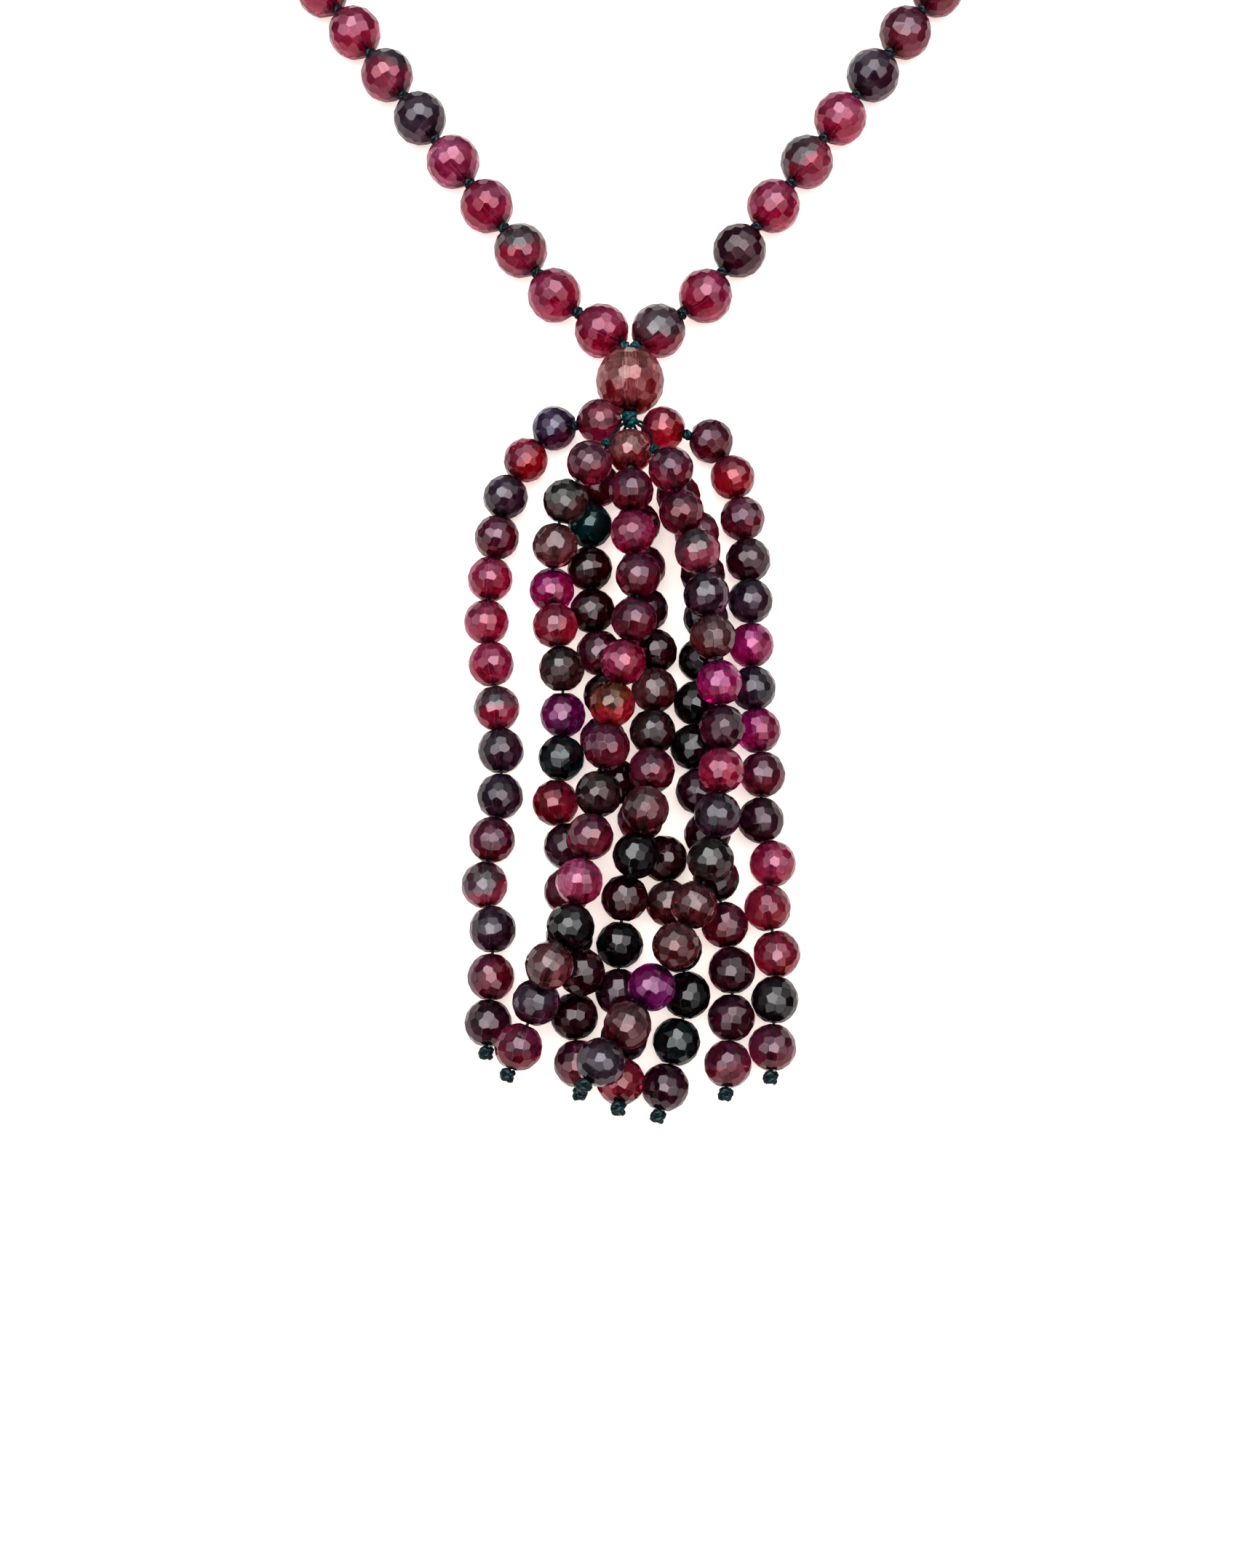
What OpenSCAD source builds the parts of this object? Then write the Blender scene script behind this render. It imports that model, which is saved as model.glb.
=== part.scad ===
// Tassel necklace: a knotted loop of faceted stone beads that ends in a large bead,
// with eight bead strands below it. It lies flat on a surface at z = 0, in mm.
// Seen from above, the neck loop is toward +Y and the tassel toward -Y.

/* [Neck string] */
// Beads on each side of the neck loop
neck_beads_a_side = 34; // [20:1:40]
// Diameter of a neck bead over its facet corners
neck_bead_d = 10.3; // [8:0.1:11]
// Gap between two neck beads, where a knot sits
neck_bead_gap = 1.45; // [1.25:0.05:3]
// Gap between the two lowest neck beads
neck_split = 0.4; // [0.3:0.1:3]
// Angle between one arm of the neck loop and the middle line
neck_half_angle = 35; // [25:1:42]
// How far above the centre knot the two arms would cross
neck_crossing = 5.7; // [3:0.1:8]

/* [Large bead] */
// Diameter of the large bead over its facet corners
large_bead_d = 13; // [11:0.1:14]
// Gap between the large bead and the two lowest neck beads
large_gap = 0.7; // [0.6:0.1:2]

/* [Tassel] */
// Diameter of a tassel bead over its facet corners
tassel_bead_d = 8.1; // [6:0.1:8.4]
// Gap between two beads of a strand
tassel_bead_gap = 0.25; // [0.1:0.05:1.5]
// Gap between beads with a knot between them
knotted_gap = 1.3; // [1.1:0.1:3]
// Least gap where a bead lies on another strand
lay_gap = 0.15; // [0.1:0.05:0.5]

/* [Thread and knots] */
// Diameter of the thread
thread_d = 0.6; // [0.4:0.05:0.7]
// Clearance between the thread and a bead's hole
thread_clearance = 0.14; // [0.1:0.02:0.3]
// Diameter of a knot on the neck string
neck_knot_d = 1.9; // [1:0.1:2.1]
// Diameter of a knot high on a tassel strand
strand_knot_d = 1.7; // [1:0.1:1.8]
// Diameter of the knot that ends a strand
end_knot_d = 2.5; // [1.2:0.1:3.5]
// Diameter of the centre knot
centre_knot_d = 3.1; // [2.4:0.1:3.4]
// Length of the centre knot along the necklace
centre_knot_l = 2.1; // [1.6:0.1:2.6]

/* [Facets] */
// Facets round a neck bead
neck_sides = 12; // [10:2:16]
// Facets round a tassel bead
tassel_sides = 10; // [10:2:16]
// Facets round the large bead
large_sides = 16; // [10:2:20]

/* [Hidden] */

// Angles from a bead's hole at which its rings of facet corners lie
small_rings = [22, 64, 116, 158];
large_rings = [14, 39, 64.5, 90, 115.5, 141, 166];

neck_r = neck_bead_d / 2;
tassel_r = tassel_bead_d / 2;
large_r = large_bead_d / 2;
neck_pitch = neck_bead_d + neck_bead_gap;
joint_d = 1.2 * thread_d;
bore_d = joint_d + 2 * thread_clearance;
turn_d = 1.3 * bore_d;
bore_start = 0.3 * bore_d;
thread_start = 0.15 * thread_d;
twin_x = thread_d / 2 + thread_clearance / 2;
large_bore_d = 2 * twin_x + thread_d + 2 * thread_clearance;
table_share = cos(small_rings[0]);

// The centre knot's middle is the plan's zero until the whole is set on its origin
knot = [0, 0, large_r];
large = [0, centre_knot_l / 2 + thread_clearance + large_r, large_r];

// Strands in the order in which they lie on each other, lowest first. Each row has
// its letter, its number of beads, the least height of its first bead, whether a knot
// comes before or after that bead, bare thread points before it and the plan points of
// its route.
strands = [
  ["h", 14, 4, "", [[3, -4, 2.8]],
    [[9, -14.5], [12.5, -22.5], [14, -38.5], [13, -47.5], [11.5, -63.5], [12.5, -72.5],
     [15.5, -89], [18, -106], [17, -123]]],
  ["f", 15, 4, "", [[-2.5, -3.5, 3]],
    [[-6, -12.5], [-7.5, -21], [-7, -37], [-4.5, -53.5], [-5, -61.5], [-2.5, -70],
     [6, -84.5], [7, -93], [10, -110], [8, -118], [6, -126]]],
  ["g", 14, 4, "", [[0.3, -6, 2.5], [0.8, -12, 3]],
    [[1.5, -20.5], [2.5, -29.5], [3, -38], [4.5, -46], [4, -63], [3.5, -72.5],
     [0.5, -88], [-1.5, -95], [-2, -110.5], [-1, -119], [-2, -127]]],
  ["d", 15, 4, "before", [[-2.6, -4, 10.4], [-4.4, -7.2, 11.4]],
    [[-7.5, -11.5], [-12, -19], [-14.5, -33.5], [-12.5, -50], [-12.5, -65.5],
     [-13.5, -73.5], [-11.5, -82], [-11, -98], [-8.5, -107], [-10, -114.5], [-9, -123]]],
  ["b", 16, 5, "after", [],
    [[6.2, -1.3], [14.5, -3], [19, -10], [22, -27], [22.5, -51], [24, -68], [23.5, -76.5],
     [25.5, -85], [24.5, -93], [26, -101], [25, -118]]],
  ["a", 16, 8, "after", [],
    [[-5.8, -1.2], [-14.5, -1], [-20, -8], [-23.5, -15.5], [-26, -31], [-26.5, -40],
     [-24, -60], [-23.5, -72], [-26, -89], [-24.5, -98], [-25, -113]]],
  ["c", 15, 8.3, "after", [],
    [[0, -7.5], [0.5, -25], [1.5, -34.5], [0.5, -42.5], [-3.5, -59], [-4.5, -68],
     [-7.5, -84], [-9.5, -93], [-11, -100.5], [-15, -108], [-20, -120.5]]],
  ["e", 15, 4, "before", [[3.6, -3.9, 8.6], [4.5, -8.4, 11.6]],
    [[7.5, -13], [9.5, -21], [12.5, -29.5], [15, -45.5], [16.5, -61], [15.5, -78],
     [14, -87], [8, -102], [4, -108.5], [-0.5, -116], [-5, -122.5]]]
];

function unit(v) = v / norm(v);

// Point of a smooth curve through the points p, where u counts the points passed
function curve(p, u) =
  let (n = len(p), i = max(0, min(floor(u), n - 2)), t = u - i,
       a = i > 0 ? p[i - 1] : 2 * p[0] - p[1], b = p[i], c = p[i + 1],
       d = i < n - 2 ? p[i + 2] : 2 * p[n - 1] - p[n - 2])
  u > n - 1 ? c + (u - (n - 1)) * (c - b) :
  0.5 * (2 * b + (c - a) * t + (2 * a - 5 * b + 4 * c - d) * t * t
         + (3 * b - a - 3 * c + d) * t * t * t);

// Height at which a tassel bead at plan point q rests on the floor or on other beads
function rest_z(q, near) = max([tassel_r, for (b = near)
  let (s = tassel_r + b[3] + lay_gap, h = s * s - pow(q[0] - b[0], 2) - pow(q[1] - b[1], 2))
  if (h > 0) b[2] + sqrt(h)]);
function seat(route, u, near) = let (q = curve(route, u)) [q[0], q[1], rest_z(q, near)];

// First place along a route that is one pitch away from the bead at p
function reach(route, p, u, pitch, near) =
  norm(seat(route, u, near) - p) >= pitch
    ? narrow(route, p, u - 0.05, u, pitch, near, 9)
    : reach(route, p, u + 0.05, pitch, near);
function narrow(route, p, low, high, pitch, near, turns) =
  turns == 0 ? high :
  let (mid = (low + high) / 2)
  norm(seat(route, mid, near) - p) >= pitch
    ? narrow(route, p, low, mid, pitch, near, turns - 1)
    : narrow(route, p, mid, high, pitch, near, turns - 1);
function close_beads(p, laid) =
  [for (b = laid) if (abs(p[0] - b[0]) + abs(p[1] - b[1]) < 4 * tassel_bead_d) b];
function walk(route, p, u, left, pitch, next_pitch, laid) =
  left == 0 ? [p] :
  let (near = close_beads(p, laid), v = reach(route, p, u + 0.1, pitch, near))
  concat([p], walk(route, seat(route, v, near), v, left - 1, next_pitch, next_pitch, laid));
function strand_beads(row, laid) =
  let (route = row[5], first = seat(route, 0, laid), pitch = tassel_bead_d + tassel_bead_gap)
  walk(route, [first[0], first[1], max(first[2], row[2])], 0, row[1] - 1,
       row[3] == "after" ? tassel_bead_d + knotted_gap : pitch, pitch, laid);
function lay_strands(k, laid, done) =
  k == len(strands) ? done :
  let (new = strand_beads(strands[k], laid))
  lay_strands(k + 1, concat(laid, [for (p = new) [p[0], p[1], p[2], tassel_r]]),
              concat(done, [new]));

// One arm of the neck loop, from the large bead round to the middle of the back
arm_x = neck_r + neck_split / 2;
first_neck = [arm_x, large[1] + sqrt(pow(large_r + neck_r + large_gap, 2) - pow(arm_x, 2)),
  neck_r];
arm = [sin(neck_half_angle), cos(neck_half_angle)];
from_crossing = [first_neck[0], first_neck[1] - neck_crossing];
along = from_crossing * arm;
second_s = along + sqrt(pow(neck_pitch, 2) - pow(norm(from_crossing), 2) + along * along);
turn_share = (90 + neck_half_angle) * PI / 180;
straight_s = (second_s + (neck_beads_a_side - 1.5) * neck_pitch)
  / (1 + tan(neck_half_angle) * turn_share);
loop_r = straight_s * tan(neck_half_angle);
loop_y = neck_crossing + straight_s / cos(neck_half_angle);
function arm_point(s) =
  s < straight_s ? [s * arm[0], neck_crossing + s * arm[1], neck_r] :
  let (a = (s - straight_s) / loop_r * 180 / PI - neck_half_angle)
  [loop_r * cos(a), loop_y + loop_r * sin(a), neck_r];
neck_points = [for (k = [0 : neck_beads_a_side - 1])
  k == 0 ? first_neck : arm_point(second_s + (k - 1) * neck_pitch)];
function mirrored(points) = [for (p = points) [-p[0], p[1], p[2]]];
top_knot_d = 0.85 * neck_knot_d;
top_knot = [twin_x + neck_knot_d / 3,
  large[1] + large_r * cos(large_rings[0]) + thread_clearance + top_knot_d / 2, large_r];

first_laid = [
  [large[0], large[1], large[2], large_r],
  [first_neck[0], first_neck[1], neck_r, neck_r],
  [-first_neck[0], first_neck[1], neck_r, neck_r]
];
laid_strands = lay_strands(0, first_laid, []);
function strand_row(letter) = [for (k = [0 : len(strands) - 1]) if (strands[k][0] == letter) k][0];

// The whole is set with its origin under the middle of its box
low_y = min([for (s = laid_strands) for (p = s) p[1]]) - tassel_r - end_knot_d;
high_y = loop_y + loop_r + neck_r;
centre_y = (low_y + high_y) / 2;

module set_down() {
  translate([0, -centre_y, 0]) children();
}

module aim(v) {
  rotate([0, acos(v[2] / norm(v)), atan2(v[1], v[0])]) children();
}

// A ball on a thread that runs the way v, turned so that its poles lie beside the thread
module turned_ball(p, v, d) {
  translate(p) aim(v) rotate([90, 0, 0]) sphere(d = d, $fn = 32);
}

// A stone with staggered rings of three-sided facets and a flat table at each end
module cut_stone(d, n, rings) {
  m = len(rings);
  corners = [for (i = [0 : m - 1]) for (k = [0 : n - 1])
    let (a = (k + (i % 2) / 2) * 360 / n)
    d / 2 * [sin(rings[i]) * cos(a), sin(rings[i]) * sin(a), cos(rings[i])]];
  faces = concat(
    [[for (k = [n - 1 : -1 : 0]) k]],
    [[for (k = [0 : n - 1]) (m - 1) * n + k]],
    [for (i = [0 : m - 2]) for (k = [0 : n - 1])
      let (a = i * n + k, b = i * n + (k + 1) % n, c = a + n, e = b + n)
      i % 2 == 0 ? [a, b, c] : [a, b, e]],
    [for (i = [0 : m - 2]) for (k = [0 : n - 1])
      let (a = i * n + k, c = a + n, step = i % 2 == 0 ? n - 1 : 1,
           e = (i + 1) * n + (k + step) % n)
      i % 2 == 0 ? [a, c, e] : [a, e, c]]
  );
  polyhedron(points = corners, faces = faces);
}

// A bead whose hole comes from the point before it and turns to the point after it,
// in a small hollow at its middle that keeps the two halves of the hole apart
module drilled_bead(at, before, after, d, sides, spin) {
  translate(at) difference() {
    aim(after - before) rotate([0, 0, spin]) cut_stone(d, sides, small_rings);
    turned_ball([0, 0, 0], after - before, turn_d);
    for (way = [before - at, after - at])
      aim(way) translate([0, 0, bore_start]) cylinder(d = bore_d, h = d, $fn = 32);
  }
}

module bead_string(points, before, after, d, sides) {
  last = len(points) - 1;
  for (i = [0 : last])
    drilled_bead(points[i], i == 0 ? before : points[i - 1],
      i == last ? after : points[i + 1], d, sides, i * 137.5);
}

module thread_run(points) {
  last = len(points) - 1;
  for (i = [0 : last - 1])
    translate(points[i]) aim(points[i + 1] - points[i])
      translate([0, 0, thread_start])
        cylinder(d = thread_d, h = norm(points[i + 1] - points[i]) - 2 * thread_start, $fn = 24);
  for (i = [1 : last - 1])
    turned_ball(points[i], points[i + 1] - points[i - 1], joint_d);
}

module large_bead() {
  color("indianred") set_down() translate(large) rotate([-90, 0, 0]) difference() {
    cut_stone(large_bead_d, large_sides, large_rings);
    cylinder(d = large_bore_d, h = 2 * large_bead_d, center = true, $fn = 32);
  }
}

module neck_beads(points) {
  bead_string(points, [sign(points[0][0]) * top_knot[0], top_knot[1], top_knot[2]],
    [-points[len(points) - 1][0], points[len(points) - 1][1], neck_r],
    neck_bead_d, neck_sides);
}

module neck_beads_left() {
  color("firebrick") set_down() neck_beads(mirrored(neck_points));
}

module neck_beads_right() {
  color("crimson") set_down() neck_beads(neck_points);
}

module neck_thread() {
  in_bead = [
    [twin_x, centre_knot_l / 2 + thread_clearance, large_r],
    [twin_x, large[1] + large_r * cos(large_rings[0]) + thread_clearance, large_r],
    top_knot
  ];
  one_arm = concat(in_bead, neck_points);
  back = [for (i = [len(one_arm) - 1 : -1 : 0]) [-one_arm[i][0], one_arm[i][1], one_arm[i][2]]];
  last = len(neck_points) - 1;
  color("darkslategray") set_down() {
    thread_run(concat(one_arm, back));
    for (points = [neck_points, mirrored(neck_points)]) {
      top = [sign(points[0][0]) * top_knot[0], top_knot[1], top_knot[2]];
      turned_ball(top, points[0] - top, top_knot_d);
      for (i = [0 : last - 1])
        turned_ball((points[i] + points[i + 1]) / 2, points[i + 1] - points[i], neck_knot_d);
    }
    turned_ball([0, neck_points[last][1], neck_r], [1, 0, 0], neck_knot_d);
  }
}

module centre_knot() {
  wrap = centre_knot_l / 4 + 0.03;
  color("teal") set_down() translate(knot) rotate([90, 0, 0]) {
    for (s = [-1, 1])
      translate([0, 0, s * (centre_knot_l / 2 - wrap)])
        rotate_extrude($fn = 32) translate([centre_knot_d / 2 - wrap, 0]) circle(r = wrap, $fn = 24);
    cylinder(d = centre_knot_d - 2 * wrap, h = centre_knot_l - 2 * wrap, center = true, $fn = 32);
  }
}

// Points of a strand's thread: from the centre knot, through its beads to the end knot
function lead_points(k) =
  let (lead = strands[k][4], first = laid_strands[k][0], aim_at = len(lead) > 0 ? lead[0] : first)
  concat([knot + unit(aim_at - knot) * (norm([centre_knot_d, centre_knot_l]) / 2 + 0.1)], lead);
function end_point(k) =
  let (s = laid_strands[k], p = s[len(s) - 1], q = s[len(s) - 2])
  p + unit(p - q) * (tassel_r * table_share + end_knot_d / 2 + 0.15);

module tassel_beads(letter) {
  k = strand_row(letter);
  lead = lead_points(k);
  color("mediumvioletred") set_down()
    bead_string(laid_strands[k], lead[len(lead) - 1], end_point(k), tassel_bead_d, tassel_sides);
}

module tassel_thread(letter) {
  k = strand_row(letter);
  beads = laid_strands[k];
  lead = lead_points(k);
  color("darkslategray") set_down() {
    thread_run(concat(lead, beads, [end_point(k)]));
    turned_ball(end_point(k), end_point(k) - beads[len(beads) - 1], end_knot_d);
    if (strands[k][3] == "after")
      turned_ball((beads[0] + beads[1]) / 2, beads[1] - beads[0], strand_knot_d);
    if (strands[k][3] == "before")
      turned_ball(lead[len(lead) - 1], beads[0] - lead[len(lead) - 2], strand_knot_d);
  }
}

module tassel_beads_a() { tassel_beads("a"); }
module tassel_beads_b() { tassel_beads("b"); }
module tassel_beads_c() { tassel_beads("c"); }
module tassel_beads_d() { tassel_beads("d"); }
module tassel_beads_e() { tassel_beads("e"); }
module tassel_beads_f() { tassel_beads("f"); }
module tassel_beads_g() { tassel_beads("g"); }
module tassel_beads_h() { tassel_beads("h"); }
module tassel_thread_a() { tassel_thread("a"); }
module tassel_thread_b() { tassel_thread("b"); }
module tassel_thread_c() { tassel_thread("c"); }
module tassel_thread_d() { tassel_thread("d"); }
module tassel_thread_e() { tassel_thread("e"); }
module tassel_thread_f() { tassel_thread("f"); }
module tassel_thread_g() { tassel_thread("g"); }
module tassel_thread_h() { tassel_thread("h"); }

large_bead();
neck_beads_left();
neck_beads_right();
neck_thread();
centre_knot();
tassel_beads_a();
tassel_beads_b();
tassel_beads_c();
tassel_beads_d();
tassel_beads_e();
tassel_beads_f();
tassel_beads_g();
tassel_beads_h();
tassel_thread_a();
tassel_thread_b();
tassel_thread_c();
tassel_thread_d();
tassel_thread_e();
tassel_thread_f();
tassel_thread_g();
tassel_thread_h();
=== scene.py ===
import math
import random

import bmesh
import bpy
from mathutils import Matrix, Vector


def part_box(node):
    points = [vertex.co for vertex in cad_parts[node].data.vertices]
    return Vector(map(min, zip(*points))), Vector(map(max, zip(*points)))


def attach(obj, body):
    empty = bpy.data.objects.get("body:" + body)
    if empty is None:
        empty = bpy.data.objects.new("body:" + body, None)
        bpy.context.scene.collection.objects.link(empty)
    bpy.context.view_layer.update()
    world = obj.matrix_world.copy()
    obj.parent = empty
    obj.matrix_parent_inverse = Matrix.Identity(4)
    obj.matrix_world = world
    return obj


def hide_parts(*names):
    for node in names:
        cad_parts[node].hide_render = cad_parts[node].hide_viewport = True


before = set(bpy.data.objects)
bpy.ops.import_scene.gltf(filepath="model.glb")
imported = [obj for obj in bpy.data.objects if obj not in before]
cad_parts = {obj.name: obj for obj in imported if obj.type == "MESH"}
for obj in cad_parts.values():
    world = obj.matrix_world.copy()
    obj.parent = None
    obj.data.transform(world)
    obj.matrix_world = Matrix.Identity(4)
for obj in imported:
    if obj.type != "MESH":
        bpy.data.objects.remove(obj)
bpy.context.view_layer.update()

mm = 0.001  # metres in a millimetre


def linearColour(hexColour):
    # Turns an sRGB hex colour into the linear one that shaders use
    shares = [int(hexColour[i:i + 2], 16) / 255 for i in (1, 3, 5)]
    light = [s / 12.92 if s <= 0.04045 else ((s + 0.055) / 1.055) ** 2.4 for s in shares]
    return (*light, 1.0)


def addNode(tree, kind, settings=None, links=None):
    # Adds one node. Settings name its properties or sockets, links name what feeds a socket
    node = tree.nodes.new(kind)
    for name, value in (settings or {}).items():
        if isinstance(name, str) and hasattr(node, name):
            setattr(node, name, value)
        else:
            node.inputs[name].default_value = value
    for name, source in (links or {}).items():
        tree.links.new(source, node.inputs[name])
    return node


def newMaterial(name):
    material = bpy.data.materials.new(name)
    material.use_nodes = True
    material.node_tree.nodes.clear()
    return material, material.node_tree


# Camera, table and light
cameraPlace = {
    "target": (-0.48, -163.63, 0),  # plan point at the picture's centre, mm
    "distance": 400,                # mm
    "elevation": 75,                # degrees above the table
    "focalLength": 3000,            # in pixels of the picture
    "pictureHeight": 2156,          # in the same pixels
    "sensor": 36,                   # mm
}


def makeCamera():
    lift = math.radians(cameraPlace["elevation"])
    target = Vector(cameraPlace["target"]) * mm
    back = Vector((0, -math.cos(lift), math.sin(lift)))
    data = bpy.data.cameras.new("camera")
    data.sensor_width = cameraPlace["sensor"]
    data.lens = (cameraPlace["sensor"] * cameraPlace["focalLength"]
                 / cameraPlace["pictureHeight"])
    data.clip_start = 0.01
    camera = bpy.data.objects.new("camera", data)
    camera.location = target + back * cameraPlace["distance"] * mm
    camera.rotation_mode = "QUATERNION"
    camera.rotation_quaternion = (-back).to_track_quat("-Z", "Y")
    bpy.context.scene.collection.objects.link(camera)
    bpy.context.scene.camera = camera


studio = {
    "tableSide": 3.0,                # metres
    "tableDrop": 0.05,               # mm under the lowest bead, so that no faces coincide
    "tableColour": "#c2bebb",
    "glowColour": "#ffefe6",
    "glow": 0.55,                    # painted glow of the table itself, which only the camera sees
    "backdrop": 0.95,                # how light the camera sees the room past the table
    "skyStrength": 2.45,
    "horizonStrength": 0.15,
    "skySide": (0, -0.1, 0.995),
    "skyFade": (0.3, 0.85),          # cosines from that side between which the sky brightens
    "patchSize": 0.25,               # patches of the ceiling, as a share of its distance
    "patchSeed": 33.0,
    "patchEdge": (0.46, 0.58),       # noise between which a patch turns from dim to light
    "patchLight": (0.7, 1.5),
    "personSide": (0, -0.81, 0.59),  # where the person with the camera stands
    "personFade": (0.92, 0.97),
    "personStrength": 0.04,          # share of the sky's light left there
    "lampPower": 70.0,               # watts
    "lampSide": 2.7,                 # metres
    "lampPlace": (-0.12, 0.05, 3.0),
    "lampAim": (0, -0.1, 0),
}


def makeTable():
    mesh = bpy.data.meshes.new("table")
    shape = bmesh.new()
    bmesh.ops.create_grid(shape, x_segments=8, y_segments=8, size=studio["tableSide"] / 2)
    shape.to_mesh(mesh)
    shape.free()
    table = bpy.data.objects.new("table", mesh)
    bpy.context.scene.collection.objects.link(table)
    table.location.z = -studio["tableDrop"] * mm
    # Matt pale table with a painted warm glow in its own surface, so that shadows on it stay
    # faint and warm
    material, tree = newMaterial("matt_table_painted_glow")
    # The camera alone sees the glow, so the stones mirror a dimmer table
    path = addNode(tree, "ShaderNodeLightPath")
    glow = addNode(tree, "ShaderNodeMath", {"operation": "MULTIPLY", 1: studio["glow"]},
                   {0: path.outputs["Is Camera Ray"]})
    shader = addNode(tree, "ShaderNodeBsdfPrincipled", {
        "Base Color": linearColour(studio["tableColour"]), "Roughness": 0.9, "IOR": 1.4,
        "Specular IOR Level": 0.1, "Emission Color": linearColour(studio["glowColour"])},
        {"Emission Strength": glow.outputs[0]})
    addNode(tree, "ShaderNodeOutputMaterial", links={"Surface": shader.outputs[0]})
    mesh.materials.append(material)


def makeLight():
    # A lit ceiling that is dark toward the walls and where the person with the camera stands
    world = bpy.data.worlds.new("tent")
    bpy.context.scene.world = world
    world.use_nodes = True
    tree = world.node_tree
    tree.nodes.clear()
    place = addNode(tree, "ShaderNodeTexCoord")
    toSky = addNode(tree, "ShaderNodeVectorMath", {
        "operation": "DOT_PRODUCT", 1: studio["skySide"]}, {0: place.outputs["Generated"]})
    sky = addNode(tree, "ShaderNodeMapRange", {
        "interpolation_type": "SMOOTHSTEP",
        "From Min": studio["skyFade"][0], "From Max": studio["skyFade"][1],
        "To Min": studio["horizonStrength"], "To Max": studio["skyStrength"]},
        {"Value": toSky.outputs["Value"]})
    toPerson = addNode(tree, "ShaderNodeVectorMath", {
        "operation": "DOT_PRODUCT", 1: studio["personSide"]}, {0: place.outputs["Generated"]})
    shade = addNode(tree, "ShaderNodeMapRange", {
        "interpolation_type": "SMOOTHSTEP",
        "From Min": studio["personFade"][0], "From Max": studio["personFade"][1],
        "To Min": 1.0, "To Max": studio["personStrength"]},
        {"Value": toPerson.outputs["Value"]})
    patches = addNode(tree, "ShaderNodeTexNoise", {
        "noise_dimensions": "4D", "W": studio["patchSeed"],
        "Scale": 1 / studio["patchSize"], "Detail": 1.0}, {"Vector": place.outputs["Generated"]})
    patchy = addNode(tree, "ShaderNodeMapRange", {
        "interpolation_type": "SMOOTHSTEP",
        "From Min": studio["patchEdge"][0], "From Max": studio["patchEdge"][1],
        "To Min": studio["patchLight"][0], "To Max": studio["patchLight"][1]},
        {"Value": patches.outputs["Fac"]})
    ceiling = addNode(tree, "ShaderNodeMath", {"operation": "MULTIPLY"},
                      {0: sky.outputs[0], 1: patchy.outputs[0]})
    strength = addNode(tree, "ShaderNodeMath", {"operation": "MULTIPLY"},
                       {0: ceiling.outputs[0], 1: shade.outputs[0]})
    # The camera sees an even backdrop past the table, and only the stones mirror the room
    path = addNode(tree, "ShaderNodeLightPath")
    seen = addNode(tree, "ShaderNodeMix", {"data_type": "FLOAT", 3: studio["backdrop"]},
                   {"Factor": path.outputs["Is Camera Ray"], 2: strength.outputs[0]})
    background = addNode(tree, "ShaderNodeBackground", {"Color": (1, 1, 1, 1)},
                         {"Strength": seen.outputs[0]})
    addNode(tree, "ShaderNodeOutputWorld", links={"Surface": background.outputs[0]})

    data = bpy.data.lights.new("softbox", "AREA")
    data.shape = "SQUARE"
    data.size = studio["lampSide"]
    data.energy = studio["lampPower"]
    lamp = bpy.data.objects.new("softbox", data)
    lamp.location = studio["lampPlace"]
    bpy.context.scene.collection.objects.link(lamp)
    lamp.rotation_mode = "QUATERNION"
    aim = Vector(studio["lampAim"])
    lamp.rotation_quaternion = (aim - lamp.location).to_track_quat("-Z", "Y")


print("camera, table and light")
makeCamera()
makeTable()
makeLight()
bpy.context.scene.view_settings.view_transform = "Standard"
bpy.context.scene.view_settings.look = "Medium High Contrast"


# Places of the beads and knots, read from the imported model
def looseSolids(name):
    # Corner points of each loose solid of a node
    shape = bmesh.new()
    shape.from_mesh(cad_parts[name].data)
    bmesh.ops.remove_doubles(shape, verts=shape.verts, dist=0.002 * mm)  # joins split corners
    left = set(shape.verts)
    solids = []
    while left:
        reached = [left.pop()]
        points = []
        while reached:
            vert = reached.pop()
            points.append(vert.co.copy())
            for edge in vert.link_edges:
                other = edge.other_vert(vert)
                if other in left:
                    left.remove(other)
                    reached.append(other)
        solids.append(points)
    shape.free()
    return solids


def sphereThrough(points):
    # Centre and radius of the sphere that the outermost corners of a bead lie on. It is
    # fitted four times, because the centre decides which corners count as outermost
    outermost = 0.93    # share of the largest distance, which leaves out the hole's corners
    centre = sum(points, Vector()) / len(points)
    for turn in range(4):
        far = max((p - centre).length for p in points)
        corners = [p for p in points if (p - centre).length > outermost * far]
        middle = sum(corners, Vector()) / len(corners)
        square = Matrix(((0, 0, 0),) * 3)
        right = Vector()
        meanSquare = sum((p - middle).length_squared for p in corners) / len(corners)
        for p in corners:
            q = p - middle
            for i in range(3):
                for j in range(3):
                    square[i][j] += 2 * q[i] * q[j]
            right += q * (q.length_squared - meanSquare)
        centre = middle + square.inverted() @ right
    return centre, max((p - centre).length for p in points)


def beadRow(name, start):
    # Bead centres of a string in order, from the one nearest to start, and their radius
    spheres = [sphereThrough(points) for points in looseSolids(name)]
    left = [centre for centre, radius in spheres]
    row = []
    here = start
    while left:
        here = min(left, key=lambda c: (c - here).length)
        left.remove(here)
        row.append(here)
    return row, max(radius for centre, radius in spheres)


def ballBeyond(name, centre, direction, reach):
    # Middle of the ball that ends a thread past its last bead
    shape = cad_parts[name].data
    points = [v.co for v in shape.vertices
              if (v.co - centre).dot(direction) > reach and (v.co - centre).length < 2 * reach]
    low = Vector([min(p[i] for p in points) for i in range(3)])
    high = Vector([max(p[i] for p in points) for i in range(3)])
    return (low + high) / 2


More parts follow.
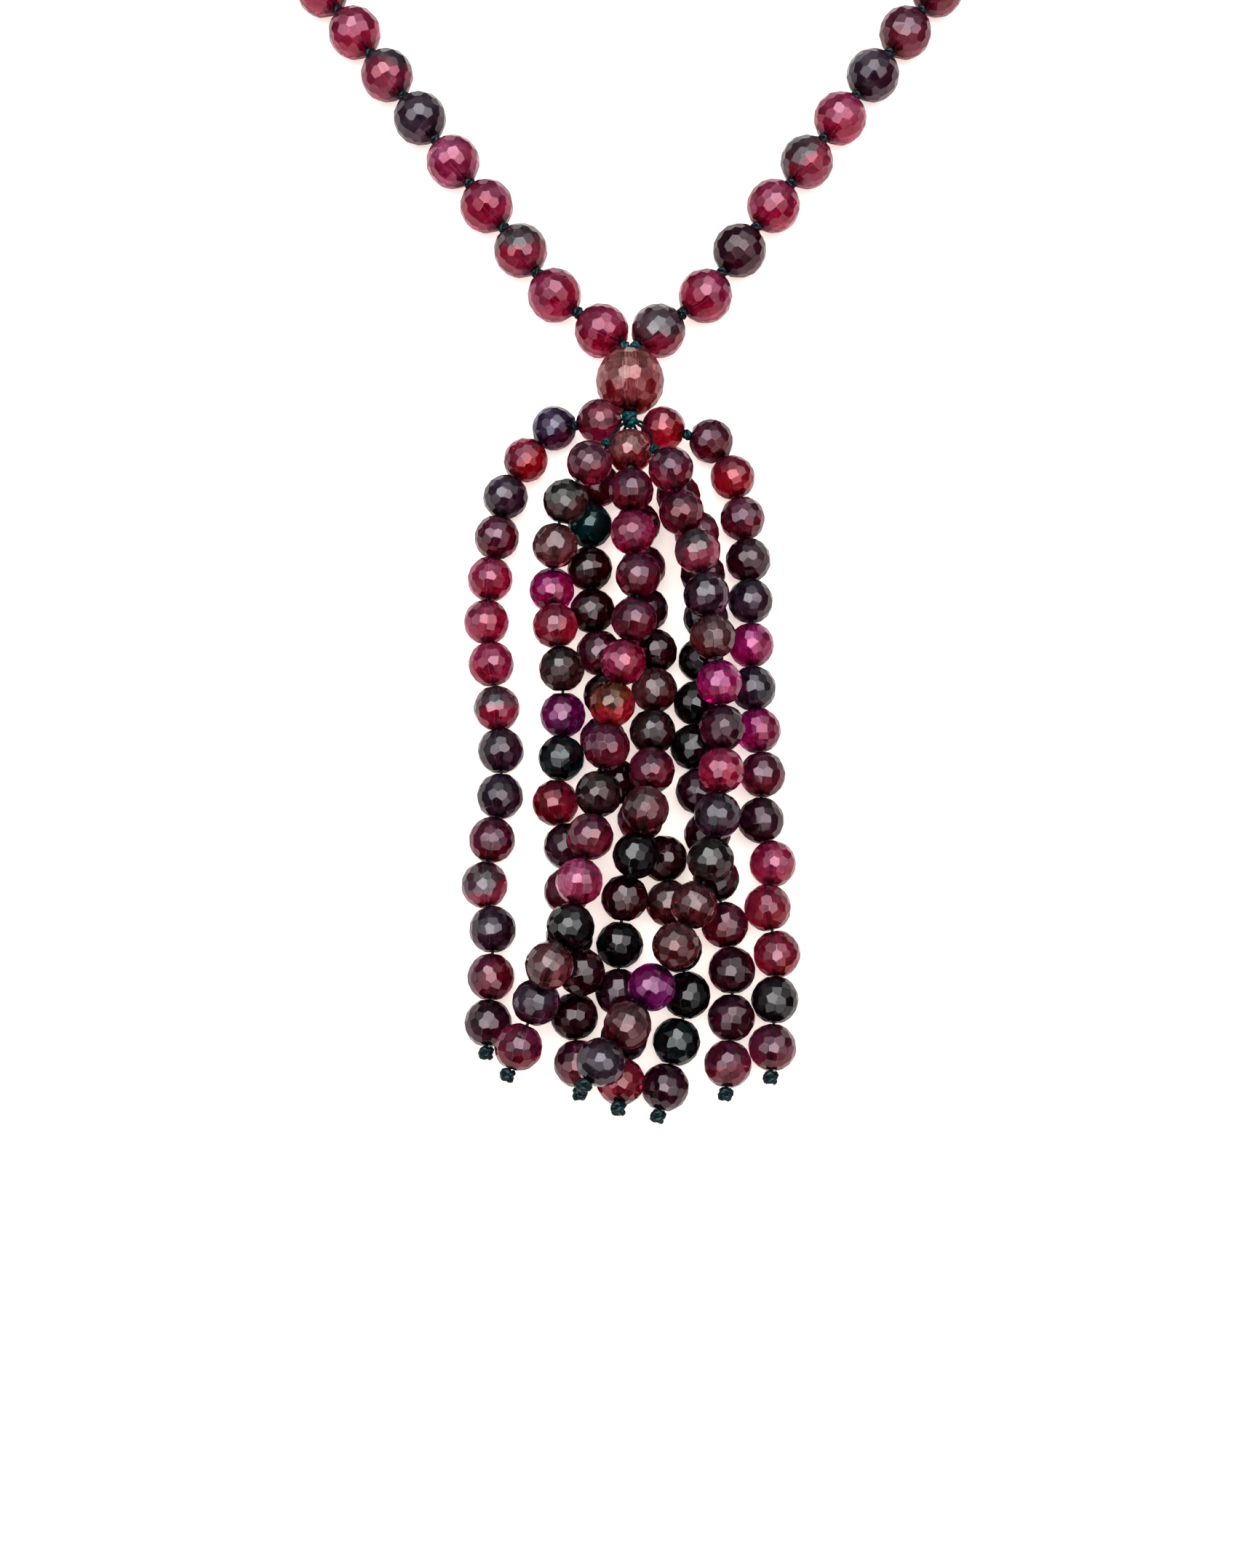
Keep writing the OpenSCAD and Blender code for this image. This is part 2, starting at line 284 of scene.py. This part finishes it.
print("bead places")
letters = "abcdefgh"
knotLow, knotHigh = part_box("centre_knot")
centreKnot = (knotLow + knotHigh) / 2
[largeCentre], largeRadius = beadRow("large_bead", centreKnot)
neckRows = {side: beadRow("neck_beads_" + side, largeCentre) for side in ("left", "right")}
tasselRows = {letter: beadRow("tassel_beads_" + letter, centreKnot) for letter in letters}
for name, (row, radius) in [*neckRows.items(), *tasselRows.items()]:
    print(name, len(row), "beads of", round(2 * radius / mm, 2), "mm")


# Stones
offString = Vector((0.3, 0.2, 1))    # a direction that no string follows
patternRoom = 50                     # mm each way of the pattern that the stones are cut from
drillBit = {
    "sides": 14,
    "mouth": 1.18,    # width of the bevelled mouth, as a share of the hole's
    "bevel": 0.18,    # its depth, as a share of the hole's radius
}


def sideways(direction, reference):
    # The part of reference that is square to direction, one unit long
    return (reference - reference.dot(direction) * direction).normalized()


def facetPlanes(cut, toLast, toNext, dice):
    # Normals and distances of a unit stone's facets: two tables and staggered rings
    axis = (toNext - toLast).normalized()
    across = sideways(axis, offString)
    other = axis.cross(across)
    spin = math.radians(cut["spin"]) if "spin" in cut else dice.uniform(0, math.tau)
    planes = [(toLast, cut["tableShare"]), (toNext, cut["tableShare"])]
    for number, (lift, count) in enumerate(cut["rings"]):
        for way in (0, 1):
            for k in range(count):
                turn = spin + (k + (number + way) % 2 / 2) * math.tau / count
                turn += math.radians(dice.gauss(0, cut["wobble"]))
                tip = math.radians((2 * way - 1) * lift + dice.gauss(0, cut["wobble"]))
                normal = math.sin(tip) * axis + math.cos(tip) * (
                    math.cos(turn) * across + math.sin(turn) * other)
                depth = cut["facetShare"] * (1 + dice.gauss(0, cut["depthWobble"]))
                planes.append((normal, depth))
    return planes


def facetedStone(cut, toLast, toNext, hole, dice):
    # A stone of unit radius, cut by its planes, with softened edges and a drilled hole
    planes = facetPlanes(cut, toLast, toNext, dice)
    dual = bmesh.new()
    points = [dual.verts.new(normal / share) for normal, share in planes]
    bmesh.ops.convex_hull(dual, input=points)
    corner = {}
    for face in dual.faces:
        face.normal_update()
        corner[face] = face.normal / face.normal.dot(face.verts[0].co)
    stone = bmesh.new()
    made = {face: stone.verts.new(place) for face, place in corner.items()}
    for point, (normal, share) in zip(points, planes):
        outline = [made[face] for face in point.link_faces]
        if len(outline) < 3:
            continue
        middle = sum((v.co for v in outline), Vector()) / len(outline)
        side = sideways(normal, outline[0].co - middle)
        up = normal.cross(side)
        outline.sort(key=lambda v: math.atan2((v.co - middle).dot(up), (v.co - middle).dot(side)))
        stone.faces.new(outline)
    dual.free()
    bmesh.ops.remove_doubles(stone, verts=stone.verts, dist=cut["leastEdge"])
    bmesh.ops.bevel(stone, geom=stone.edges[:], offset=cut["softEdge"], segments=1,
                    profile=0.5, affect="EDGES", clamp_overlap=True)
    drill(stone, toLast, toNext, hole)
    return stone


def drill(stone, toLast, toNext, hole):
    # Opens both tables and joins them by a hole that turns at the stone's middle
    axis = (toNext - toLast).normalized()
    across = sideways(axis, offString)
    rings = []
    stone.faces.ensure_lookup_table()
    sides = drillBit["sides"]

    def ring(place, direction, radius):
        first = sideways(direction, across)
        second = direction.cross(first)
        return [stone.verts.new(place + radius * (math.cos(k * math.tau / sides) * first
                                                  + math.sin(k * math.tau / sides) * second))
                for k in range(sides)]

    for way, direction in ((toLast, -toLast), (toNext, toNext)):
        stone.normal_update()
        # The face that looks most along the thread, and of near equals the largest
        table = max(stone.faces, key=lambda f: f.normal.dot(way) * f.calc_area() ** 0.1)
        height = table.calc_center_median().dot(way)
        outline = list(table.edges)
        bmesh.ops.delete(stone, geom=[table], context="FACES_ONLY")
        mouth = ring(way * height, direction, hole * drillBit["mouth"])
        rim = [stone.edges.new((mouth[k - 1], mouth[k])) for k in range(sides)]
        bmesh.ops.bridge_loops(stone, edges=outline + rim)
        inner = ring(way * (height - drillBit["bevel"] * hole), direction, hole)
        rings.append((mouth, inner))
    stone.normal_update()
    inward = [face for face in stone.faces if face.normal.dot(face.calc_center_median()) < 0]
    bmesh.ops.reverse_faces(stone, faces=inward)
    middle = ring(Vector(), axis, hole)
    (startMouth, startInner), (endMouth, endInner) = rings
    for one, two in ((startMouth, startInner), (startInner, middle), (middle, endInner),
                     (endInner, endMouth)):
        for k in range(sides):
            stone.faces.new((one[k], one[k - 1], two[k - 1], two[k]))


def stoneRow(name, row, radius, before, after, cut, chart, kinds, dice):
    # One mesh of all the stones of a string, with their colours as attributes
    places = []
    faces = []
    colours = {"stoneDyeAndSheen": [], "stoneDyeAndGlow": [], "stoneMilk": []}
    local = []
    split = []
    ends = []
    for i, centre in enumerate(row):
        last = (row[i - 1] if i else before) - centre
        following = (row[i + 1] if i + 1 < len(row) else after) - centre
        last.normalize()
        following.normalize()
        stone = facetedStone(cut, last, following, cut["holeRadius"] * mm / radius, dice)
        # Each stone shows another place of the agate pattern, turned its own way
        turned = Matrix.Rotation(dice.uniform(0, math.tau), 3, Vector(
            (dice.gauss(0, 1), dice.gauss(0, 1), dice.gauss(0, 1))))
        shift = Vector([dice.uniform(-patternRoom, patternRoom) for axis in range(3)])
        kind = kinds[chart[i % len(chart)]]
        # Painted light: the side of each stone that leans toward the light, to +Y and up, takes
        # the upper colour, milkier as a painted reflection of the lit ceiling. The rest takes the
        # lower colour, deeper as a painted glow of light through the stone
        slope = Vector((dice.gauss(*agate["litSideAcross"]), 1, dice.gauss(*agate["litSideLift"])))
        slope.normalize()
        base = len(places)
        for number, vert in enumerate(stone.verts):
            vert.index = number
            place = centre + vert.co * radius
            place.z = max(place.z, 0)    # the lowest corners lie on the table
            places.append(place)
            local.append(turned @ vert.co * radius / mm + shift)
            split.append(vert.co.dot(slope) + cut["litSideMore"])
            # nearness to a drilled end, for the painted shade there
            ends.append(max(vert.co.dot(last), vert.co.dot(following)))
            for key, colour in zip(colours, kind):
                colours[key].append(colour)
        faces += [[base + v.index for v in face.verts] for face in stone.faces]
        stone.free()
    mesh = bpy.data.meshes.new(name)
    mesh.from_pydata(places, [], faces)
    for key, values in colours.items():
        layer = mesh.attributes.new(key, "FLOAT_COLOR", "POINT")
        layer.data.foreach_set("color", [share for colour in values for share in colour])
    layer = mesh.attributes.new("stonePlace", "FLOAT_VECTOR", "POINT")
    layer.data.foreach_set("vector", [share for place in local for share in place])
    for key, values in (("stoneSplit", split), ("stoneEnd", ends)):
        layer = mesh.attributes.new(key, "FLOAT", "POINT")
        layer.data.foreach_set("value", values)
    stones = bpy.data.objects.new(name, mesh)
    bpy.context.scene.collection.objects.link(stones)
    return stones


agate = {
    "cloudSize": 3.2,            # mm
    "veilScale": 0.7,            # scale of the milky clouds beside that of the coloured ones
    "bandWidth": 1.1,            # mm
    "bandShare": 0.06,           # how much the bands add to the milky clouds
    "milkEdge": (0.42, 0.78),    # noise between which a cloud turns milky
    "leastMilk": 0.03,           # share of the milky colour in the clearest part
    "milkiest": 0.32,            # and in the cloudiest
    "clearest": 0.95,            # share of the light that passes through the clearest part
    "cloudiest": 0.72,           # and through the cloudiest
    "litSideAcross": (-0.4, 0.4),  # mean and spread of how far the upper, painted lit side leans to +X
    "litSideLift": (0.5, 0.35),    # and to +Z, beside 1 to +Y
    "ragged": 1.4,               # how much the clouds shift the line between the two colours
    "splitEdge": (0.4, 1.0),     # how wide that line fades
    "endEdge": (0.74, 0.95),     # share of the radius between which the painted shade at the ends sets in
    "endShade": 0.75,             # how much darker the ends are painted, a painted shade and dark reflection of the knots and beads beside them
    "glowDepth": 2.5,            # mm that light scatters under the surface
    "glowSpread": (1.0, 0.4, 0.6),    # and how far of it red, green and blue go
    "haze": 0.045,               # roughness of the polish
    "coat": 0.1,                 # share of the light that the vapour coat mirrors
}


def polishedAgate():
    # Agate, dyed, cut in facets, tumbled to a polish and given a thin vapour coat: clear
    # depth with milky clouds and bands, under small flat faces that mirror the room
    material, tree = newMaterial("polished_dyed_agate")
    place = addNode(tree, "ShaderNodeAttribute", {"attribute_name": "stonePlace"})
    upper = addNode(tree, "ShaderNodeAttribute", {"attribute_name": "stoneDyeAndSheen"})
    lower = addNode(tree, "ShaderNodeAttribute", {"attribute_name": "stoneDyeAndGlow"})
    milk = addNode(tree, "ShaderNodeAttribute", {"attribute_name": "stoneMilk"})
    split = addNode(tree, "ShaderNodeAttribute", {"attribute_name": "stoneSplit"})
    cloud = addNode(tree, "ShaderNodeTexNoise", {
        "Scale": 1 / agate["cloudSize"], "Detail": 3.0, "Roughness": 0.55},
        {"Vector": place.outputs["Vector"]})
    # Painted light: the line between the upper colour, painted milkier on the lit side, and the
    # lower colour, painted deeper, made ragged by the clouds
    ragged = addNode(tree, "ShaderNodeMath", {
        "operation": "MULTIPLY_ADD", 1: agate["ragged"]},
        {0: cloud.outputs["Fac"], 2: split.outputs["Fac"]})
    side = addNode(tree, "ShaderNodeMapRange", {
        "interpolation_type": "SMOOTHSTEP",
        "From Min": agate["splitEdge"][0], "From Max": agate["splitEdge"][1]},
        {"Value": ragged.outputs[0]})
    clear = addNode(tree, "ShaderNodeMix", {"data_type": "RGBA"}, {
        "Factor": side.outputs[0], 6: lower.outputs["Color"], 7: upper.outputs["Color"]})
    waveRepeat = 0.314    # units after which a wave of scale 1 repeats
    band = addNode(tree, "ShaderNodeTexWave", {
        "bands_direction": "Z", "Scale": waveRepeat / agate["bandWidth"], "Distortion": 6.0,
        "Detail": 2.0, "Detail Scale": 0.8}, {"Vector": place.outputs["Vector"]})
    veil = addNode(tree, "ShaderNodeTexNoise", {
        "Scale": agate["veilScale"] / agate["cloudSize"], "Detail": 5.0, "Roughness": 0.6,
        "Distortion": 0.6}, {"Vector": place.outputs["Vector"]})
    banded = addNode(tree, "ShaderNodeMath", {
        "operation": "MULTIPLY_ADD", 1: agate["bandShare"]},
        {0: band.outputs["Fac"], 2: veil.outputs["Fac"]})
    milky = addNode(tree, "ShaderNodeMapRange", {
        "interpolation_type": "SMOOTHSTEP",
        "From Min": agate["milkEdge"][0], "From Max": agate["milkEdge"][1],
        "To Min": agate["leastMilk"], "To Max": agate["milkiest"]},
        {"Value": banded.outputs[0]})
    body = addNode(tree, "ShaderNodeMix", {"data_type": "RGBA"}, {
        "Factor": milky.outputs[0], 6: clear.outputs[2], 7: milk.outputs["Color"]})
    # Painted shade: darker toward both drilled ends, where the knots and the beads beside them
    # shade the stone and mirror dark
    end = addNode(tree, "ShaderNodeAttribute", {"attribute_name": "stoneEnd"})
    darker = addNode(tree, "ShaderNodeMapRange", {
        "interpolation_type": "SMOOTHSTEP",
        "From Min": agate["endEdge"][0], "From Max": agate["endEdge"][1],
        "To Min": 1.0, "To Max": 1 - agate["endShade"]}, {"Value": end.outputs["Fac"]})
    dyed = addNode(tree, "ShaderNodeVectorMath", {"operation": "SCALE"},
                   {0: body.outputs[2], "Scale": darker.outputs[0]})
    passes = addNode(tree, "ShaderNodeMapRange", {
        "From Min": 0.0, "From Max": agate["milkiest"], "To Min": agate["clearest"],
        "To Max": agate["cloudiest"]}, {"Value": milky.outputs[0]})
    shader = addNode(tree, "ShaderNodeBsdfPrincipled", {
        "IOR": 1.54, "Roughness": agate["haze"], "Metallic": agate["coat"],
        "Subsurface Weight": 1.0, "Subsurface Radius": agate["glowSpread"],
        "Subsurface Scale": agate["glowDepth"] * mm},
        {"Base Color": dyed.outputs[0], "Transmission Weight": passes.outputs[0]})
    addNode(tree, "ShaderNodeOutputMaterial", links={"Surface": shader.outputs[0]})
    return material


# Each kind of stone has the colour of its upper side, painted milkier as the lit side, of its
# lower side, painted deeper as light glowing through, and of its cloudy parts
stoneKinds = {
    "r": ("#982c60", "#ae0044", "#bc5884"),  # raspberry
    "p": ("#b05484", "#a81254", "#c884a8"),  # rose
    "w": ("#64284a", "#86042a", "#8c4868"),  # wine
    "d": ("#441a30", "#54041c", "#643858"),  # dark plum
    "n": ("#3c0c1c", "#50020c", "#582834"),  # dark wine
    "s": ("#443648", "#500c30", "#686074"),  # slate over plum
    "S": ("#505056", "#b80048", "#7c7c88"),  # slate over raspberry
    "u": ("#4a345e", "#801048", "#586a88"),  # slate blue over plum
    "k": ("#1c181c", "#1c080c", "#38343a"),  # black
    "m": ("#a4107c", "#a40054", "#c040a0"),  # magenta
    "v": ("#88106c", "#740060", "#a04c9c"),  # violet
    "b": ("#684a4e", "#700414", "#8c7074"),  # brown rose
    "B": ("#ac7674", "#9c0024", "#b49894"),  # pale brown rose over crimson
    "e": ("#8a2248", "#b8001c", "#a8486c"),  # ember red
    "t": ("#0c2226", "#06181a", "#20444a"),  # teal black
    "T": ("#0a5054", "#043c3e", "#2c6c70"),  # dark teal
    "x": ("#88244c", "#980022", "#a85870"),  # crimson
    "o": ("#303430", "#480410", "#585a52"),  # olive over wine
    "i": ("#501810", "#d80850", "#b89030"),  # fire agate, gold bands over pink
}

# Kinds in the order in which they are strung, from the large bead up the neck or from
# the centre knot down a strand. The row of a neck side repeats past its end
stoneOrder = {
    "left": "rrSrpsSrrdwsrwpdrws",
    "right": "SrdrSrswwrdsrwpswrd",
    "large": "B",
    "a": "wueswrrrSsswSswd",
    "b": "ewewdsmsmwdrxxkw",
    "c": "Bwrwwriwowpkbsw",
    "d": "wobmxovtxdwknnw",
    "e": "wwSsbmdrsobbvbs",
    "f": "wTnnwnwnwnbkktd",
    "g": "wwdnbowbknkdsx",
    "h": "wwdskkkddowddw",
}

# Rings of facets are (degrees from the stone's waist, facets round it), the same on both
# sides. Lengths are shares of the bead's radius, and a wobble makes the cut look done by hand
neckCut = {
    "rings": [(10, 16), (30, 14), (49, 11), (66, 6)],
    "tableShare": 0.93,      # from the middle to the drilled faces
    "facetShare": 0.956,     # from the middle to the facets
    "wobble": 2.2,           # degrees
    "depthWobble": 0.003,
    "leastEdge": 0.035,      # shorter edges are merged
    "softEdge": 0.01,
    "holeRadius": 0.5,       # mm
    "litSideMore": -0.1,       # how much more of the stone has its upper, painted lit colour
}
tasselCut = {
    "rings": [(10, 15), (30, 13), (49, 9), (66, 5)],
    "tableShare": 0.95,
    "facetShare": 0.98,
    "wobble": 2.4,
    "depthWobble": 0.003,
    "leastEdge": 0.04,
    "softEdge": 0.012,
    "holeRadius": 0.5,
    "litSideMore": -0.1,
}
largeCut = {
    "rings": [(9, 18), (27, 17), (45, 13), (62, 8)],
    "spin": -6.7,            # degrees, so that two facets lie side by side on top
    "tableShare": 0.965,
    "facetShare": 0.986,
    "wobble": 1.4,
    "depthWobble": 0.003,
    "leastEdge": 0.035,
    "softEdge": 0.008,
    "holeRadius": 0.85,
    "litSideMore": -0.35,
}

# Thread and knots
thread = {
    "radius": 0.3,       # mm
    "plies": 3,
    "plyDepth": 0.16,    # share of the radius between the plies
    "twist": 2.4,        # mm for one turn
    "step": 0.3,         # mm between rings
    "sides": 12,         # corners of a ring, a multiple of the plies
    # Painted light and shade: the same teal thread is painted near-black as shade where it lies
    # bare under and between the beads, and paler teal on the knots as their gleam
    "colour": "#010a10",
    "paleColour": "#0c5e66",
    "leastPale": 0.04,   # share of the pale colour on bare thread
    "fibre": 0.25,       # mm. A real fibre of 0.02 mm would be too fine to show
    "fibreEdge": (0.35, 0.75),    # noise between which a fibre turns pale
    "fibreHeight": 0.05,          # mm
}
# Bare thread points of the strands that start under others, in mm from the centre knot
# in plan and from the table in height, as in the part's own source
leads = {
    "d": [(-2.6, -4, 10.4), (-4.4, -7.2, 11.4)],
    "e": [(3.6, -3.9, 8.6), (4.5, -8.4, 11.6)],
    "f": [(-2.5, -3.5, 3)],
    "g": [(0.3, -6, 2.5), (0.8, -12, 3)],
    "h": [(3, -4, 2.8)],
}
firstGapKnots = "abc"    # strands with a knot after their first bead
lastLeadKnots = "de"     # strands with a knot before it
knotSizes = {            # mm across the thread and along it, and how pale it is painted, a painted light on the same teal thread
    "neck": (2.6, 2.1, 0.08), "top": (2.2, 1.9, 0.6), "strand": (2.2, 1.7, 0.3),
    "end": (3.0, 2.5, 0.12), "centre upper": (3.3, 2.2, 1.0), "centre lower": (2.7, 1.7, 1.0),
}
centreLoops = {"centre upper": 0.2, "centre lower": -0.8}    # mm from the knot's middle
topKnotPlace = (1.0, 0.75)    # mm beside the middle line and past the large bead
knotShape = {
    "tube": 0.23,        # radius of the wound thread, as a share of the knot's length
    "lobes": 0.24,       # how deep its three lobes are
    "coreRadius": 0.3,   # as a share of its width
    "coreHalf": 0.4,     # as a share of its length
    "steps": 54,         # rings along its curve
}


def smoothPath(points, step):
    # A smooth curve through the points, as close steps of equal length
    ends = [2 * points[0] - points[1], *points, 2 * points[-1] - points[-2]]
    fine = []
    pieces = 24
    for a, b, c, d in zip(ends, ends[1:], ends[2:], ends[3:]):
        for k in range(pieces):
            t = k / pieces
            fine.append(0.5 * (2 * b + (c - a) * t + (2 * a - 5 * b + 4 * c - d) * t * t
                               + (3 * b - a - 3 * c + d) * t ** 3))
    fine.append(points[-1])
    even = [fine[0]]
    walked = 0
    for a, b in zip(fine, fine[1:]):
        length = (b - a).length
        while length and walked + length >= step * len(even):
            even.append(a.lerp(b, (step * len(even) - walked) / length))
        walked += length
    even.append(fine[-1])
    return even


class ThreadMesh:
    # Collects twisted thread runs into one mesh
    def __init__(self):
        self.places = []
        self.faces = []
        self.pale = []    # how pale each corner is painted: up to 1 for a knot's corners, 0 for bare thread painted dark as shade

    def run(self, path, radius=None, turn=0.0, pale=0.0):
        # A tube along the path, twisted of plies and closed at both ends
        radius = radius or thread["radius"] * mm
        sides = thread["sides"]
        base = len(self.places)
        along = [(b - a).normalized() for a, b in zip(path, path[1:])]
        along.append(along[-1])
        side = sideways(along[0], Vector((0.2, 0.3, 1)))
        walked = 0
        for i, place in enumerate(path):
            side = sideways(along[i], side)
            up = along[i].cross(side)
            spin = turn + walked / (thread["twist"] * mm) * math.tau
            for k in range(sides):
                angle = k * math.tau / sides
                ridge = abs(math.cos(thread["plies"] / 2 * angle))
                deep = 1 - thread["plyDepth"] * (1 - ridge)
                self.places.append(place + radius * deep * (
                    math.cos(angle + spin) * side + math.sin(angle + spin) * up))
            if i + 1 < len(path):
                walked += (path[i + 1] - place).length
        rows = len(path)
        for i in range(rows - 1):
            for k in range(sides):
                a = base + i * sides + k
                b = base + i * sides + (k + 1) % sides
                self.faces.append([a, b, b + sides, a + sides])
        self.faces.append([base + k for k in reversed(range(sides))])
        self.faces.append([base + (rows - 1) * sides + k for k in range(sides)])
        self.pale += [pale] * (rows * sides)

    def knot(self, place, direction, across, along, pale, dice):
        # An overhand knot pulled tight: a closed three-lobed curve wound round the thread
        side = sideways(direction, Vector((dice.gauss(0, 1), dice.gauss(0, 1), 0.4)))
        up = direction.cross(side)
        tube = knotShape["tube"] * along * mm
        out = across * mm / 2 - tube
        core = direction * along * mm * knotShape["coreHalf"]
        self.run([place - core, place, place + core], knotShape["coreRadius"] * across * mm,
                 0.0, pale)
        path = []
        for k in range(knotShape["steps"] + 1):
            t = k * math.tau / knotShape["steps"]
            reach = out * (1 - knotShape["lobes"] * (1 - math.cos(3 * t)))
            path.append(place + reach * (math.cos(2 * t) * side + math.sin(2 * t) * up)
                        + direction * (along * mm / 2 - tube) * math.sin(3 * t))
        self.run(path, tube, dice.uniform(0, 6), pale)

    def finished(self, name, material):
        mesh = bpy.data.meshes.new(name)
        mesh.from_pydata(self.places, [], self.faces)
        layer = mesh.attributes.new("pale", "FLOAT", "POINT")
        layer.data.foreach_set("value", self.pale)
        mesh.shade_smooth()
        mesh.materials.append(material)
        made = bpy.data.objects.new(name, mesh)
        bpy.context.scene.collection.objects.link(made)
        return made


def waxedThread():
    # Polyester thread, twisted of three plies, dyed teal and waxed. Its colour is painted light
    # and shade: nearly black, as painted shade, between pale fibre specks and where it lies bare,
    # and paler teal on the knots, as a painted gleam
    material, tree = newMaterial("waxed_teal_thread")
    place = addNode(tree, "ShaderNodeTexCoord")
    fibre = addNode(tree, "ShaderNodeTexNoise", {
        "Scale": 1 / (thread["fibre"] * mm), "Detail": 3.0, "Roughness": 0.6},
        {"Vector": place.outputs["Object"]})
    pale = addNode(tree, "ShaderNodeAttribute", {"attribute_name": "pale"})
    palest = addNode(tree, "ShaderNodeMath", {
        "operation": "MULTIPLY_ADD", 1: 1 - thread["leastPale"], 2: thread["leastPale"]},
        {0: pale.outputs["Fac"]})
    tone = addNode(tree, "ShaderNodeMapRange", {
        "From Min": thread["fibreEdge"][0], "From Max": thread["fibreEdge"][1]},
        {"Value": fibre.outputs["Fac"], "To Max": palest.outputs[0]})
    colour = addNode(tree, "ShaderNodeMix", {
        "data_type": "RGBA", 6: linearColour(thread["colour"]),
        7: linearColour(thread["paleColour"])}, {"Factor": tone.outputs[0]})
    bump = addNode(tree, "ShaderNodeBump", {
        "Strength": 0.4, "Distance": thread["fibreHeight"] * mm},
        {"Height": fibre.outputs["Fac"]})
    shader = addNode(tree, "ShaderNodeBsdfPrincipled", {
        "Roughness": 0.35, "IOR": 1.5, "Specular IOR Level": 0.25},
        {"Base Color": colour.outputs[2], "Normal": bump.outputs[0]})
    addNode(tree, "ShaderNodeOutputMaterial", links={"Surface": shader.outputs[0]})
    return material


def dress(piece, node):
    # Lets the piece take a node's place on the one body
    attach(piece, "root")
    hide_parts(node)


print("stones")
dice = random.Random(11)
agateMaterial = polishedAgate()
kinds = {key: [linearColour(c) for c in colours] for key, colours in stoneKinds.items()}
underKnot = Vector((centreKnot.x, centreKnot.y, 0))
threadPaths = {}


def addStones(name, node, row, radius, before, after, cut, order):
    piece = stoneRow(name, row, radius, before, after, cut, order, kinds, dice)
    piece.data.materials.append(agateMaterial)
    dress(piece, node)


alongY = Vector((0, 1, 0))
addStones("stone_large", "large_bead", [largeCentre], largeRadius,
          largeCentre - alongY * mm, largeCentre + alongY * mm, largeCut,
          stoneOrder["large"])
for side, (row, radius) in neckRows.items():
    sign = -1 if side == "left" else 1
    topKnot = largeCentre + Vector((sign * topKnotPlace[0] * mm,
                                    largeRadius + topKnotPlace[1] * mm, 0))
    other = Vector((-row[-1].x, row[-1].y, row[-1].z))
    addStones("stones_neck_" + side, "neck_beads_" + side, row, radius, topKnot, other,
              neckCut, stoneOrder[side])
    threadPaths[side] = [topKnot, *row]
for letter, (row, radius) in tasselRows.items():
    bare = [underKnot + Vector(point) * mm for point in leads.get(letter, [])]
    outward = (row[-1] - row[-2]).normalized()
    endKnot = ballBeyond("tassel_thread_" + letter, row[-1], outward, radius)
    before = bare[-1] if bare else centreKnot
    addStones("stones_tassel_" + letter, "tassel_beads_" + letter, row, radius, before,
              endKnot, tasselCut, stoneOrder[letter])
    threadPaths[letter] = [centreKnot, *bare, *row, endKnot]

print("thread and knots")
threadMaterial = waxedThread()
step = thread["step"] * mm
mesh = ThreadMesh()
for side in ("left", "right"):
    path = threadPaths[side]
    start = Vector((path[0].x, centreKnot.y, centreKnot.z))
    mesh.run(smoothPath([start, *path], step))
    mesh.knot(path[0], (path[1] - path[0]).normalized(), *knotSizes["top"], dice)
    for one, two in zip(path[1:], path[2:]):
        mesh.knot((one + two) / 2, (two - one).normalized(), *knotSizes["neck"], dice)
last = [threadPaths["left"][-1], threadPaths["right"][-1]]
mesh.run(smoothPath(last, step))
mesh.knot((last[0] + last[1]) / 2, (last[1] - last[0]).normalized(), *knotSizes["neck"], dice)
dress(mesh.finished("thread_neck", threadMaterial), "neck_thread")
for letter in letters:
    path = threadPaths[letter]
    row = tasselRows[letter][0]
    mesh = ThreadMesh()
    mesh.run(smoothPath(path, step))
    if letter in firstGapKnots:
        mesh.knot((row[0] + row[1]) / 2, (row[1] - row[0]).normalized(),
                  *knotSizes["strand"], dice)
    if letter in lastLeadKnots:
        bare = path[len(leads[letter])]
        mesh.knot(bare, (row[0] - bare).normalized(), *knotSizes["strand"], dice)
    mesh.knot(path[-1], (path[-1] - path[-2]).normalized(), *knotSizes["end"], dice)
    dress(mesh.finished("thread_tassel_" + letter, threadMaterial),
          "tassel_thread_" + letter)
mesh = ThreadMesh()
for size, shift in centreLoops.items():
    mesh.knot(centreKnot + alongY * shift * mm, alongY, *knotSizes[size], dice)
dress(mesh.finished("knot_centre", threadMaterial), "centre_knot")

print("done")
